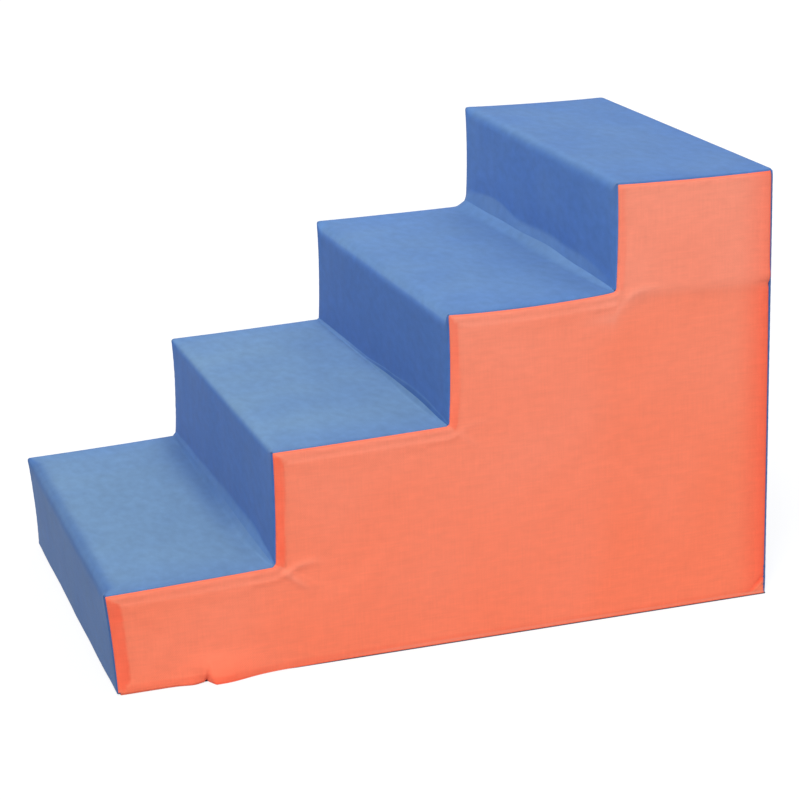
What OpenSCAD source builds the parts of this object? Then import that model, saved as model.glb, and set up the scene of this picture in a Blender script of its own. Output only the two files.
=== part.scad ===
// Four-step foam stairs for pets, with a sewn cover that a concealed zipper closes round the bottom edge.
// +Z is up and +Y is the way a pet climbs. The origin is the middle of the base, on the floor.

/* [Stairs] */
// Overall width of the stairs
stairs_w = 387; // [300:1:480]
// Depth of the lowest tread
going_1 = 151; // [130:1:180]
// Depth of the second tread
going_2 = 158; // [130:1:180]
// Depth of the third tread
going_3 = 157; // [130:1:180]
// Depth of the top tread
going_4 = 146; // [120:1:180]
// Height of the lowest step
rise_1 = 93; // [70:1:120]
// Height of the second step
rise_2 = 105; // [80:1:130]
// Height of the third step
rise_3 = 102; // [80:1:130]
// Height of the top step
rise_4 = 100; // [80:1:130]

/* [Cover] */
// Thickness of the cover cloth
cloth_t = 1.2; // [0.8:0.1:1.6]
// Thickness of the non-slip cloth under the stairs
base_t = 1; // [0.8:0.1:1.6]
// Radius of the cover over the front edge of each tread
nosing_r = 7; // [4:0.5:10]
// How far the cloth cuts the inner corner between a tread and the next riser
bridge = 9; // [6:0.5:14]
// Width of the turned seam inside the edges of the side and back cloths
seam_w = 9; // [7:0.5:12]
// How far the turned seam stands proud of the cloth beside it
seam_h = 0.8; // [0.5:0.1:1]
// Radius of the two upright back edges
back_edge_r = 6; // [5:0.5:9]

/* [Zipper] */
// Distance from the front of the stairs to the ends of the zipper
zip_start = 83; // [60:1:110]
// Diameter of each zipper coil
coil_d = 1.8; // [1.4:0.1:2.2]
// Thickness of the woven zipper tapes
tape_t = 0.4; // [0.3:0.05:0.5]
// Radius left inside the coils where the zipper turns the back corners
bend_r = 2.7; // [2:0.1:4]
// Length of the stops at the ends of the coils
stop_l = 2.5; // [2:0.1:4]
// Length of the slider
slider_l = 10; // [9:0.5:12]
// Length of the pull tab from its pin to its tip
pull_l = 22; // [18:1:28]
// Width of the pull tab
pull_w = 5; // [4.5:0.1:6]
// Radius of the pin that the pull tab swings on
pin_r = 0.5; // [0.5:0.05:0.7]

/* [Hidden] */
$fn = 48;

// Colours as photographed
tread_blue = [0.36, 0.52, 0.74];
side_orange = [0.96, 0.44, 0.34];
base_navy = [0.13, 0.16, 0.27];
foam_cream = [0.93, 0.89, 0.78];

// Steps, counted from 0 at the front
goings = [going_1, going_2, going_3, going_4];
rises = [rise_1, rise_2, rise_3, rise_4];
steps = len(goings);
function total(v, n) = n == 0 ? 0 : v[n - 1] + total(v, n - 1);
stairs_l = total(goings, steps);
stairs_h = total(rises, steps);
half_w = stairs_w / 2;
back_y = stairs_l / 2;
riser_y = [for (k = [0:steps]) total(goings, k) - back_y];
level_z = [for (k = [0:steps]) total(rises, k)];
arc_steps = 8;       // flats on a rounded front edge
quarter = 90;
half_turn = quarter / 2;
overrun = 1;         // how far a cut runs past what it cuts
mitre_share = sqrt(2) - 1;

// Cover
wall_t = cloth_t + seam_h;        // side and back cloth at their turned seams
wall_in = half_w - wall_t;        // inner face of the side cloths
back_in = back_y - wall_t;        // inner face of the back cloth
inner_edge_r = back_edge_r - wall_t;

// Zipper slider, its pin and the pull tab
slack = 0.3;                      // clearance round what slides
coil_slack = 0.2;                 // clearance between the slider and the coils
run_gap = 0.05;                   // running clearance of the pin
flange_t = 0.5;                   // sheet of the slider's flanges, ears and web
plate_t = 1;                      // back plate of the slider
neck_t = 0.8;                     // blade that passes through the slit
neck_l = 4;
ear_t = 0.7;
barrel_wall = 0.4;                // wall of the pull tab's barrel
barrel_r = pin_r + run_gap + barrel_wall;
web_out = slack + flange_t;       // outer face of the slider's web
pin_out = web_out + coil_slack + barrel_r;
pull_t = 1;
yoke_l = 2 * barrel_r + flange_t; // length of the yoke along the zipper

// Heights in the zipper, from the floor up
slider_low = base_t + tape_t + slack;
lip_top = slider_low + flange_t + coil_slack + coil_d;
slit_h = neck_t + 2 * slack;
slit_z = lip_top + slit_h / 2;
hem_low = lip_top + slit_h;
slider_high = 2 * slit_z - slider_low;
face_top = slit_z + pull_w / 2 + slider_low / 2;
roll_h = 4;                       // height over which the hem rolls in
roll_top = face_top + roll_h;
hem_top = roll_top + 2 * base_t;

// Outward places in the zipper, from the outer face of the hem
hem_inset = pin_out + barrel_r + coil_slack;
hem_t = 2 * cloth_t;              // the hem is turned cloth
lip_t = 2 * base_t;               // and so is the lip of the base
tape_in = max(hem_t, lip_t) + tape_t;
plate_out = tape_in + coil_d + coil_slack;
channel = plate_out + plate_t + slack;
coil_mid = tape_in + coil_d / 2;
wall_out = hem_inset - wall_t;    // inner face of the side cloth, seen from the hem
roll_lead = cloth_t / 2;
zip_y = riser_y[0] + zip_start;
hem_r = back_edge_r - hem_inset;
path_r = channel + bend_r;
coil_y = zip_y + stop_l;
slider_y = coil_y + slack;        // front of the parked slider

// Outline of the stairs, drawn as [y, z] and moved in by e
function nosing(k, e) =
    let (r = max(nosing_r - e, 0), turn = quarter / arc_steps)
    [for (i = [0:arc_steps])
        [riser_y[k] + e + r * (1 - cos(i * turn)), level_z[k + 1] - e - r * (1 - sin(i * turn))]];
function bridge_low(k, e) = [riser_y[k] - bridge + e * mitre_share, level_z[k] - e];
function bridge_high(k, e) = [riser_y[k] + e, level_z[k] + bridge - e * mitre_share];
function bridge_mid(k, e) = (bridge_low(k, e) + bridge_high(k, e)) / 2;
function front_path(e) = [for (k = [0:steps - 1])
    each concat(k == 0 ? [] : [bridge_low(k, e), bridge_high(k, e)], nosing(k, e))];
function outline(e, bottom, back) =
    concat([[riser_y[0] + e, bottom]], front_path(e), [[back, stairs_h - e], [back, bottom]]);

// One riser and tread of the cover, from seam to seam
function step_path(k, e) = concat(
    k == 0 ? [[riser_y[0] + e, base_t]] : [bridge_mid(k, e), bridge_high(k, e)],
    nosing(k, e),
    k == steps - 1 ? [[back_in, stairs_h - e]] : [bridge_low(k + 1, e), bridge_mid(k + 1, e)]);
function backwards(v) = [for (i = [len(v) - 1:-1:0]) v[i]];

// Draws a [y, z] outline across the stairs, from x0 over a thickness t
module across(x0, t) {
    translate([x0, 0, 0]) rotate([quarter, 0, quarter]) linear_extrude(t) children();
}

// Plan of the stairs, moved in by e at the sides and back, with round back corners
module plan(e, r) {
    w = half_w - e;
    straight = back_y - e - r;
    translate([-w, riser_y[0]]) square([2 * w, straight - riser_y[0]]);
    translate([r - w, straight - overrun]) square([2 * (w - r), r + overrun]);
    for (s = [-1, 1]) translate([s * (w - r), straight]) circle(r);
}

// Straight run of a zipper section, drawn as [outward, up], along the right side
module side_run(from, r) {
    end = back_y - hem_inset - r;
    translate([half_w - hem_inset, end, 0]) rotate([quarter, 0, 0]) linear_extrude(end - from) children();
}

// The same section across the back
module back_run(r) {
    w = half_w - hem_inset - r;
    translate([-w, back_y - hem_inset, 0]) rotate([quarter, 0, quarter]) linear_extrude(2 * w) children();
}

// The same section round the right back corner, turned from the side or, with back set, from the back
module corner_run(r, turn = quarter, back = false) {
    translate([half_w - hem_inset - r, back_y - hem_inset - r, 0]) from_end(back)
        rotate_extrude(angle = turn) translate([r, 0]) children();
}

// Swaps the two ends of what is turned from +X towards +Y
module from_end(back) {
    rotate([0, 0, back ? quarter : 0]) mirror([0, back ? 1 : 0, 0]) children();
}

// Half of the right upright back edge, turned as above
module back_edge(back = false) {
    translate([half_w - back_edge_r, back_y - back_edge_r, hem_top]) from_end(back)
        rotate_extrude(angle = half_turn)
            translate([inner_edge_r, 0]) square([wall_t, stairs_h - hem_top]);
}

// The same section along both sides, both corners and the back
module full_run(from, r) {
    for (s = [0, 1]) mirror([s, 0, 0]) {
        side_run(from, r) children();
        corner_run(r) children();
    }
    back_run(r) children();
}

// Hem of a side or back cloth, rolled in to the slit
module hem_section() {
    polygon([[hem_inset, hem_top], [hem_inset, roll_top], [0, face_top], [0, hem_low],
             [-hem_t, hem_low], [-hem_t, face_top + roll_lead],
             [wall_out, roll_top + roll_lead], [wall_out, hem_top]]);
}

module upper_tape_section() {
    polygon([[-hem_t, hem_low], [-hem_t, face_top + roll_lead],
             [wall_out, roll_top + roll_lead], [wall_out, hem_top],
             [wall_out - tape_t, hem_top], [wall_out - tape_t, roll_top + roll_lead],
             [-tape_in, face_top + roll_lead], [-tape_in, hem_low]]);
}

module lower_tape_section() {
    polygon([[-lip_t, lip_top], [-lip_t, base_t], [slack - channel, base_t],
             [slack - channel, base_t + tape_t], [-tape_in, base_t + tape_t], [-tape_in, lip_top]]);
}

module lip_section() {
    translate([-lip_t, 0]) square([lip_t, lip_top]);
}

// What the foam gives way to: the hem, the upper tape and the channel of the slider
module rebate_section() {
    out = hem_inset + back_edge_r;
    polygon([[out, -overrun], [out, hem_top], [wall_out - tape_t, hem_top],
             [wall_out - tape_t, roll_top + roll_lead], [-tape_in, face_top + roll_lead],
             [-channel, face_top + roll_lead], [-channel, -overrun]]);
}

module coil_section(z) {
    translate([-coil_mid, z]) circle(d = coil_d);
}

module foam_slab(k) {
    floor_z = k == 0 ? base_t : level_z[k] - cloth_t;
    color(foam_cream) difference() {
        intersection() {
            across(-wall_in, 2 * wall_in)
                polygon(concat([[riser_y[k] + cloth_t, floor_z]], nosing(k, cloth_t),
                               [[back_in, level_z[k + 1] - cloth_t], [back_in, floor_z]]));
            linear_extrude(stairs_h) plan(wall_t, inner_edge_r);
        }
        if (k == 0) full_run(zip_y, path_r) rebate_section();
    }
}

module step_panel(k) {
    color(tread_blue) intersection() {
        across(-wall_in, 2 * wall_in)
            polygon(concat(step_path(k, 0), backwards(step_path(k, cloth_t))));
        linear_extrude(stairs_h) plan(wall_t, inner_edge_r);
    }
}

// Right side cloth: flat inside its turned seams, with half of the back edge and the hem
module side_panel() {
    flat_back = back_y - back_edge_r;
    difference() {
        across(wall_in, wall_t) polygon(outline(0, base_t, flat_back));
        across(half_w - seam_h, seam_h + overrun)
            polygon(outline(seam_w, hem_top, back_y - seam_w - back_edge_r));
        translate([wall_in - overrun, zip_y, -overrun])
            cube([wall_t + 2 * overrun, stairs_l, hem_top + overrun]);
    }
    back_edge();
    side_run(zip_y, hem_r) hem_section();
    corner_run(hem_r, half_turn) hem_section();
}

module back_panel() {
    w = half_w - back_edge_r;
    color(tread_blue) {
        difference() {
            translate([-w, back_in, hem_top]) cube([2 * w, wall_t, stairs_h - hem_top]);
            translate([seam_w - w, back_y - seam_h, hem_top + seam_w])
                cube([2 * (w - seam_w), seam_h + overrun, stairs_h - hem_top - 2 * seam_w]);
        }
        for (s = [0, 1]) mirror([s, 0, 0]) {
            back_edge(back = true);
            corner_run(hem_r, half_turn, back = true) hem_section();
        }
        back_run(hem_r) hem_section();
    }
}

// Non-slip cloth, turned up to a lip along the zipper
module base_panel() {
    color(base_navy) {
        linear_extrude(base_t) {
            plan(hem_inset, hem_r);
            translate([-half_w, riser_y[0]]) square([stairs_w, zip_start]);
        }
        full_run(zip_y, hem_r) lip_section();
    }
}

module zipper_tape_upper() {
    color(base_navy) full_run(zip_y, path_r) upper_tape_section();
}

module zipper_tape_lower() {
    color(base_navy) full_run(zip_y, path_r) lower_tape_section();
}

module zipper_coil(z) {
    color(base_navy) full_run(coil_y, path_r) coil_section(z);
}

// A stop that fills the place of the coils between two heights, on the right side
module stop(low, high) {
    translate([half_w - hem_inset - tape_in - coil_d, zip_y, low]) cube([coil_d, stop_l, high - low]);
}

module zipper_top_stops() {
    color("silver") mirror([1, 0, 0]) {
        stop(lip_top - coil_d, lip_top);
        stop(hem_low, hem_low + coil_d);
    }
}

module zipper_bottom_stop() {
    color("silver") stop(lip_top - coil_d, hem_low + coil_d);
}

// Puts what is drawn as [outward, along the zipper, up] at the slider's place on the left side
module at_slider() {
    mirror([1, 0, 0]) translate([half_w - hem_inset, slider_y, slit_z]) children();
}

module slider_body() {
    slider_h = slider_high - slider_low;
    barrel_h = slider_h / 2;
    yoke_h = barrel_h + 2 * (coil_slack + ear_t);
    color("silver") at_slider() {
        // back plate, drawn in at its front end
        translate([-plate_out - plate_t, 0, 0]) rotate([quarter, 0, quarter]) linear_extrude(plate_t)
            polygon([[0, -slider_h / 4], [slider_l / 4, -slider_h / 2], [slider_l, -slider_h / 2],
                     [slider_l, slider_h / 2], [slider_l / 4, slider_h / 2], [0, slider_h / 4]]);
        // flanges that hold the coils
        for (s = [0, 1]) mirror([0, 0, s])
            translate([-plate_out, slider_l / 4, slider_h / 2 - flange_t])
                cube([coil_d, slider_l * 3 / 4, flange_t]);
        // blade through the slit, then the web, ears and pin outside it
        translate([-plate_out, 0, -neck_t / 2]) cube([plate_out + web_out, neck_l, neck_t]);
        translate([slack, 0, -yoke_h / 2]) cube([flange_t, yoke_l, yoke_h]);
        for (s = [0, 1]) mirror([0, 0, s]) translate([slack, 0, yoke_h / 2 - ear_t]) {
            cube([pin_out - slack, yoke_l, ear_t]);
            translate([pin_out - slack, yoke_l / 2, 0]) cylinder(r = barrel_r, h = ear_t);
        }
        translate([pin_out, yoke_l / 2, -yoke_h / 2]) cylinder(r = pin_r, h = yoke_h);
    }
}

module slider_pull() {
    barrel_h = (slider_high - slider_low) / 2;
    tip_r = pull_w / 2;
    neck_w = barrel_h * 2 / 3;
    color("silver") at_slider() translate([pin_out, yoke_l / 2, 0]) difference() {
        union() {
            translate([0, 0, -barrel_h / 2]) cylinder(r = barrel_r, h = barrel_h);
            // tab, narrow between the ears and round at its tip
            translate([-pull_t / 2, 0, 0]) rotate([quarter, 0, quarter]) linear_extrude(pull_t) {
                polygon([[0, -neck_w / 2], [yoke_l, -neck_w / 2], [pull_l / 3, -tip_r * 3 / 4],
                         [pull_l - tip_r, -tip_r], [pull_l - tip_r, tip_r], [pull_l / 3, tip_r * 3 / 4],
                         [yoke_l, neck_w / 2], [0, neck_w / 2]]);
                translate([pull_l - tip_r, 0]) circle(tip_r);
            }
        }
        translate([0, 0, -barrel_h]) cylinder(r = pin_r + run_gap, h = 2 * barrel_h);
        // hole near the tip
        translate([-pull_t, pull_l - tip_r, 0]) rotate([0, quarter, 0])
            cylinder(r = tip_r / 2, h = 2 * pull_t);
    }
}

foam_slab(0);  // foam_slab_1
foam_slab(1);  // foam_slab_2
foam_slab(2);  // foam_slab_3
foam_slab(3);  // foam_slab_4
step_panel(0);  // step_panel_1
step_panel(1);  // step_panel_2
step_panel(2);  // step_panel_3
step_panel(3);  // step_panel_4
color(side_orange) side_panel();  // side_panel_right
color(side_orange) mirror([1, 0, 0]) side_panel();  // side_panel_left
back_panel();
base_panel();
zipper_tape_upper();
zipper_tape_lower();
zipper_coil(hem_low + coil_d / 2);  // zipper_coil_upper
zipper_coil(lip_top - coil_d / 2);  // zipper_coil_lower
zipper_top_stops();
zipper_bottom_stop();
slider_body();
slider_pull();
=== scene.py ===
import math

import bpy
import numpy as np
from mathutils import Matrix, Vector, geometry, noise


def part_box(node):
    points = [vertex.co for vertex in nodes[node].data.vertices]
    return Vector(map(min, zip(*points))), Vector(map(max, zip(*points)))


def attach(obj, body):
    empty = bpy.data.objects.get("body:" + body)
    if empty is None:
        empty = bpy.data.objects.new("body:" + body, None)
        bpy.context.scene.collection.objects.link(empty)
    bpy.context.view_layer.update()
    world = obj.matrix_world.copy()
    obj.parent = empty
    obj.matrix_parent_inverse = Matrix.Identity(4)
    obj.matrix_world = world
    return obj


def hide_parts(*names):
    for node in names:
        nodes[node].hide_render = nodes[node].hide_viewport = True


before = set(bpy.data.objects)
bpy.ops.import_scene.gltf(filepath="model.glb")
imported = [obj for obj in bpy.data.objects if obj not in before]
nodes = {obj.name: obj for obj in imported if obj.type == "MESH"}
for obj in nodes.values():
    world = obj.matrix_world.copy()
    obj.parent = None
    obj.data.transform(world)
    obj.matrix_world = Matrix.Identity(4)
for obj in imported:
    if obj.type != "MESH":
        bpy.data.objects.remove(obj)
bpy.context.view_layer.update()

mm = 0.001

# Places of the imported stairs
STEPS = 4
CAD_BRIDGE = 9 * mm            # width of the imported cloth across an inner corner
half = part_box("side_panel_right")[1].x
back_proud = 2.4 * mm          # the foam pushes the back cloth out
back_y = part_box("back_panel")[1].y + back_proud
stairs_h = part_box("step_panel_4")[1].z
riser_y = [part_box("step_panel_1")[0].y]
riser_y += [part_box(f"step_panel_{k}")[0].y + CAD_BRIDGE / 2 for k in range(2, STEPS + 1)]
level_z = [0.0] + [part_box(f"step_panel_{k}")[1].z - CAD_BRIDGE / 2 for k in range(1, STEPS)] + [stairs_h]
tread_end = riser_y[1:] + [back_y]
zip_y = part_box("zipper_bottom_stop")[0].y
slit_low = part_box("zipper_coil_upper")[0].z

# Cover: how the cloth lies over the foam
cloth_t = 1.2 * mm
seam_in = 1.4 * mm            # how far a seam lies inside the outer faces
corner_r = 6 * mm             # upright back edges
turn_x, turn_y = half - corner_r, back_y - corner_r     # where their bends start
tip_out = 1.3 * mm            # how far a sewn corner stands out
tip_reach = 24 * mm
tread_rise = 3.6 * mm         # the cloth climbs towards each inner corner
riser_lean = 3.3 * mm
front_y = riser_y[0] + 3.6 * mm     # lower edge of the first riser, drawn in under its nosing
turned_under = 3.4 * mm       # cloth of the first riser that goes under the stairs
draw_reach = 17 * mm          # width over which a face falls away towards a side seam
quiet_reach = 14 * mm         # the broad waves start this far from a seam
swell_reach = 90 * mm         # the upright cloths swell out over this distance
pucker_pitch = 8.5 * mm       # fine puckers along the seams of the upright cloths
pucker_reach = 4 * mm

# Shape of each step from the lowest up, in mm, as [far end, near end] across the stairs
riser_shift = [[0.1, -0.8], [0.5, -1.1], [-3.2, 0.8], [-0.8, -0.2]]
nosing_lift = [[-1.2, -1.5], [-1.7, 0.8], [0.3, 1.3], [1.6, -0.4]]
foot_lift = [[0.6, 0.9], [-0.9, 2.1], [-1.4, 2.4]]     # from the second riser up
riser_draw = [[1.2, 1.2], [1.7, 1.7], [0.7, 2.0], [1.2, 1.6]]
tread_draw = [[0.4, 0.4], [0.3, 0.3], [0.4, 2.6], [1.0, 1.0]]
tip_r = [[3, 2], [3, 2], [2, 2], [2.5, 2]]     # radius at the ends of a nosing

# The same as one value for each step
riser_side_draw = [3.2, 3.0, 2.4, 1.4]     # how far the cloth beside a riser's seams is drawn in
nosing_r = [11, 8, 13, 10]
nosing_reach = [24, 24, 12, 16]     # distance from its ends over which a nosing gets that radius

# Band along each nosing: how much painted light it gets (painted highlight, or painted shade where below 0),
# how far its colour moves towards the wear colour, its place and its width in mm
nosing_light_and_shade = [-0.21, 0.02, 0.24, 0.1]
nosing_band_wear_and_light = [-0.46, 0.04, 0.16, 0.1]
nosing_centre = [4, 6, -4, 4]
nosing_width = [5.5, 5, 4.5, 4]

# Wear, mixed with a painted sheen that makes treads lighter as if lit from above, and painted light and shade
# of each riser and tread, and how far up the cloth faces where one passes into the other
turn_from = [0.15, 0.15, 0.12, 0.1]
turn_width = [0.7, 0.7, 0.4, 0.7]
tread_wear_and_sheen = [1.0, 0.9, 0.6, 0.45]
riser_wear_and_sheen = [0.25, 0.0, -0.05, 0.12]
tread_tone = [0.98, 1.0, 1.0, 0.93]
riser_tone = [0.69, 0.85, 0.89, 1.07]

# Redder band of seam allowance on the side cloth along each riser: its tone, and its width in mm
band_tone = [0.85, 0.8, 0.5, 0.32]
band_width = [11.5, 8.4, 8.0, 6.5]

# The cloth across each inner corner, in even steps from the far end to the near end, in mm: where it leaves
# the tread, the height of its seam on the riser, and the height where it meets the riser
cove_low = [None, [3, 4, 5, 7, 9, 4], [2.5, 3, 3, 4, 6, 4], [14, 11, 9, 10, 8.5, 4.5]]
cove_seam = [None, [3, 4, 5, 6, 6.5, 3], [0.8, 1, 1, 4, 5.5, 1.5], [7, 7, 6.5, 8, 4.5, 2]]
cove_high = [None, [6, 8, 10, 12, 13, 6], [1.5, 1.8, 1.8, 5.5, 8, 3], [15, 24, 15.5, 17.5, 15, 7]]
seam_out_share = [None, 0.5, 0.6, 0.2]      # how far out the seam lies, as a share of cove_low
cove_pinch = 14 * mm
cove_turn_r = 30 * mm

# Wear with painted light, and painted light and shade, of the cloth below and above that seam, in the same
# steps: each facet is painted lighter or darker for how light falls on it
low_facet_wear_and_light = [None, [0.3, 0.35, 0.4, 0.5, 0.75, 0.8], [0.6, 0.6, 0.7, 0.8, 0.8, 0.8],
            [0.6, 0.6, 0.65, 0.7, 0.7, 0.7]]
high_facet_wear_and_light = [None, [0.3, 0.35, 0.35, 0.35, 0.5, 0.5], [0.6, 0.6, 0.3, 0, 0, 0],
             [0.45, 0.5, 0.5, 0.5, 0.4, 0.2]]
low_tone = [None, [0.82, 0.8, 0.8, 0.86, 0.94, 0.98], [0.94, 0.94, 0.96, 0.98, 0.98, 0.96],
            [1.0, 1.02, 1.02, 1.02, 1.02, 1.0]]
high_tone = [None, [0.88, 0.86, 0.84, 0.84, 0.86, 0.9], [0.92, 0.88, 0.72, 0.6, 0.54, 0.6],
             [1.08, 1.12, 1.12, 1.12, 1.08, 1.0]]

# Painted shade on each tread before the next riser, in the same steps, and its reach
corner_painted_shade = [None, [0.24, 0.3, 0.32, 0.24, 0.08, 0], [0.2, 0.24, 0.18, 0.04, 0, 0],
              [0.05, 0.12, 0.14, 0.14, 0.12, 0.1]]
corner_shade_reach = [None, 16 * mm, 5 * mm, 30 * mm]

# Rows of a step cloth: bridge, riser, tread and bridge, with soft corners between them
path_rows = [4, 24, 36, 4]
turn_rows = 7
back_rows = 6                 # more rows of the top one, down its round back corners
foot_row = path_rows[0] + turn_rows
nosing_row = foot_row + path_rows[1] + turn_rows // 2

# Hem of the side and back cloths
hem_start = 12.3 * mm
hem_low = 1.4 * mm            # where the hem hangs over the zipper
hem_in = 0.3 * mm
slit_in = 3.1 * mm            # how far in the zipper holds it
pucker_y = zip_y - 1 * mm
seam_turn = math.radians(30)  # how far round the back edges the side cloth reaches
edge_step = 3.5 * mm          # distance between the points of an upright cut edge

# Camera, fitted to the photograph
view_azimuth = math.radians(72.338)
view_elevation = math.radians(17.563)
view_roll = math.radians(-1.725)
view_target = Vector((80.2, -6.2, 194.4)) * mm
view_distance = 2143.3 * mm
focal_px = 2367.4
frame_px = 800


def clamp(t):
    return np.clip(t, 0.0, 1.0)


def smooth(t):
    t = clamp(t)
    return t * t * (3 - 2 * t)


def lerp(a, b, t):
    return a + (b - a) * t


def bell(gap, width):
    """1 where the gap is 0, fading softly over the width on both sides."""
    return np.exp(-(gap / width) ** 2)


def fade(distance, reach):
    """1 at no distance, fading away over the reach."""
    return np.exp(-distance / reach)


def across(pair, x):
    """A value in metres from a [far end, near end] pair in millimetres."""
    return lerp(pair[0], pair[1], (x + half) / (2 * half)) * mm


def along_corner(values, x):
    """A value at x from values in even steps from the far end to the near end, joined smoothly."""
    at = clamp((x + half) / (2 * half)) * (len(values) - 1)
    first = np.minimum(np.floor(at), len(values) - 2).astype(int)
    return lerp(np.take(values, first), np.take(values, first + 1), smooth(at - first))


def ripple(points, size, seed):
    """Smooth noise from -1 to 1 at each point, with waves of about that size, or one size per axis."""
    scaled = np.asarray(points) / np.asarray(size) + seed * 7.31
    return np.array([noise.noise(Vector(p)) for p in scaled])


def select_only(obj):
    bpy.ops.object.select_all(action="DESELECT")
    obj.select_set(True)
    bpy.context.view_layer.objects.active = obj


def apply_modifier(obj, kind, **settings):
    select_only(obj)
    modifier = obj.modifiers.new(kind.title(), kind)
    for key, value in settings.items():
        setattr(modifier, key, value)
    bpy.ops.object.modifier_apply(modifier=modifier.name)


def edit_whole(obj, edit, **settings):
    """Runs one edit on the whole mesh of an object."""
    select_only(obj)
    bpy.ops.object.mode_set(mode="EDIT")
    bpy.ops.mesh.select_all(action="SELECT")
    edit(**settings)
    bpy.ops.object.mode_set(mode="OBJECT")


def just_added(name):
    """The object that was added last, with this name and with its size and place taken into its mesh."""
    obj = bpy.context.object
    obj.name = obj.data.name = name
    bpy.ops.object.transform_apply(location=True, rotation=True, scale=True)
    return obj


def mesh_object(name, points, faces):
    mesh = bpy.data.meshes.new(name)
    mesh.from_pydata(points, [], faces)
    obj = bpy.data.objects.new(name, mesh)
    bpy.context.scene.collection.objects.link(obj)
    return obj


def give_material(obj, material):
    obj.data.materials.clear()
    obj.data.materials.append(material)


def set_uv(mesh, uv):
    """Gives each vertex its place on the flat cloth, in metres."""
    layer = mesh.uv_layers.new(name="UVMap") if not mesh.uv_layers else mesh.uv_layers[0]
    corner = np.empty(len(mesh.loops), dtype=np.int32)
    mesh.loops.foreach_get("vertex_index", corner)
    layer.data.foreach_set("uv", np.asarray(uv, dtype=np.float32)[corner].ravel())


def set_tones(mesh, tones):
    """Gives each vertex its named tones."""
    for name, values in tones.items():
        attribute = mesh.attributes.new(name, "FLOAT", "POINT")
        attribute.data.foreach_set("value", np.asarray(values, dtype=np.float32).ravel())


def linear(red, green, blue):
    """An sRGB colour of 0 to 255 as a linear one."""
    parts = [c / 255 for c in (red, green, blue)]
    return tuple(c / 12.92 if c <= 0.04045 else ((c + 0.055) / 1.055) ** 2.4 for c in parts) + (1.0,)


# Cloth colours
deep_blue = linear(79, 124, 197)
pale_blue = linear(113, 148, 186)
orange = linear(249, 126, 92)
lit_orange = linear(249, 149, 124)
seam_orange = linear(246, 98, 68)
navy = linear(44, 52, 82)
cream = linear(238, 228, 200)
nylon = linear(38, 46, 72)
nickel = linear(198, 199, 202)


# Materials

def new_material(name, rough, **settings):
    material = bpy.data.materials.new(name)
    material.use_nodes = True
    shader = material.node_tree.nodes["Principled BSDF"]
    shader.inputs["Roughness"].default_value = rough
    for key, value in settings.items():
        shader.inputs[key.replace("_", " ")].default_value = value
    return material, material.node_tree, shader


def feed(tree, socket, value):
    """Links a socket to another node's output, or sets it to a plain value; None leaves it."""
    if isinstance(value, bpy.types.NodeSocket):
        tree.links.new(value, socket)
    elif value is not None:
        socket.default_value = value


def add_node(tree, kind, **settings):
    """Adds a node with its own properties set and its inputs fed, both by name."""
    made = tree.nodes.new(kind)
    for key, value in settings.items():
        if hasattr(made, key):
            setattr(made, key, value)
        else:
            feed(tree, made.inputs[key.replace("_", " ")], value)
    return made


def maths(tree, operation, a, b=None):
    made = add_node(tree, "ShaderNodeMath", operation=operation)
    feed(tree, made.inputs[0], a)
    feed(tree, made.inputs[1], b)
    return made.outputs[0]


def mix_colour(tree, share, a, b, blend="MIX"):
    made = add_node(tree, "ShaderNodeMix", data_type="RGBA", blend_type=blend)
    sockets = {socket.identifier: socket for socket in made.inputs}
    for name, value in (("Factor_Float", share), ("A_Color", a), ("B_Color", b)):
        feed(tree, sockets[name], value)
    return next(s for s in made.outputs if s.identifier == "Result_Color")


def new_group(name, inputs, outputs):
    tree = bpy.data.node_groups.new(name, "ShaderNodeTree")
    for socket, kind in inputs:
        tree.interface.new_socket(socket, in_out="INPUT", socket_type=kind)
    for socket in outputs:
        tree.interface.new_socket(socket, in_out="OUTPUT", socket_type="NodeSocketFloat")
    return tree, tree.nodes.new("NodeGroupInput").outputs, tree.nodes.new("NodeGroupOutput").inputs


def stretched_noise(tree, vector, scale, stretch, detail=2.0):
    """A noise value on a vector that is first scaled by the three factors of stretch."""
    mapped = add_node(tree, "ShaderNodeMapping", Vector=vector, Scale=stretch).outputs["Vector"]
    return add_node(tree, "ShaderNodeTexNoise", Vector=mapped, Scale=scale, Detail=detail).outputs["Fac"]


def build_weave_group():
    """Plain weave: the height of its threads, the streaks of thick and thin yarn, and soft mottling."""
    inputs = [("Vector", "NodeSocketVector"), ("Threads", "NodeSocketFloat")]
    tree, given, made = new_group("plain_weave", inputs, ["Height", "Streak", "Mottle"])
    split = add_node(tree, "ShaderNodeSeparateXYZ", Vector=given["Vector"])
    turns = []
    for axis in ("X", "Y"):
        count = maths(tree, "MULTIPLY", split.outputs[axis], given["Threads"])
        angle = maths(tree, "MULTIPLY", count, math.pi)
        turns.append((maths(tree, "SINE", angle), maths(tree, "COSINE", angle)))
    (sin_u, cos_u), (sin_v, cos_v) = turns
    warp = maths(tree, "MULTIPLY", sin_u, cos_v)
    weft = maths(tree, "MULTIPLY", sin_v, cos_u)
    feed(tree, made["Height"], maths(tree, "MAXIMUM", warp, weft))
    yarn = maths(tree, "MULTIPLY", given["Threads"], 0.5)
    warp_streak = stretched_noise(tree, given["Vector"], yarn, (1.0, 0.06, 1.0))
    weft_streak = stretched_noise(tree, given["Vector"], yarn, (0.06, 1.0, 1.0))
    streaks = maths(tree, "ADD", warp_streak, weft_streak)
    feed(tree, made["Streak"], maths(tree, "MULTIPLY", streaks, 0.5))
    feed(tree, made["Mottle"], stretched_noise(tree, given["Vector"], 170.0, (0.4, 1.0, 1.0), 4.0))
    return tree


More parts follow.
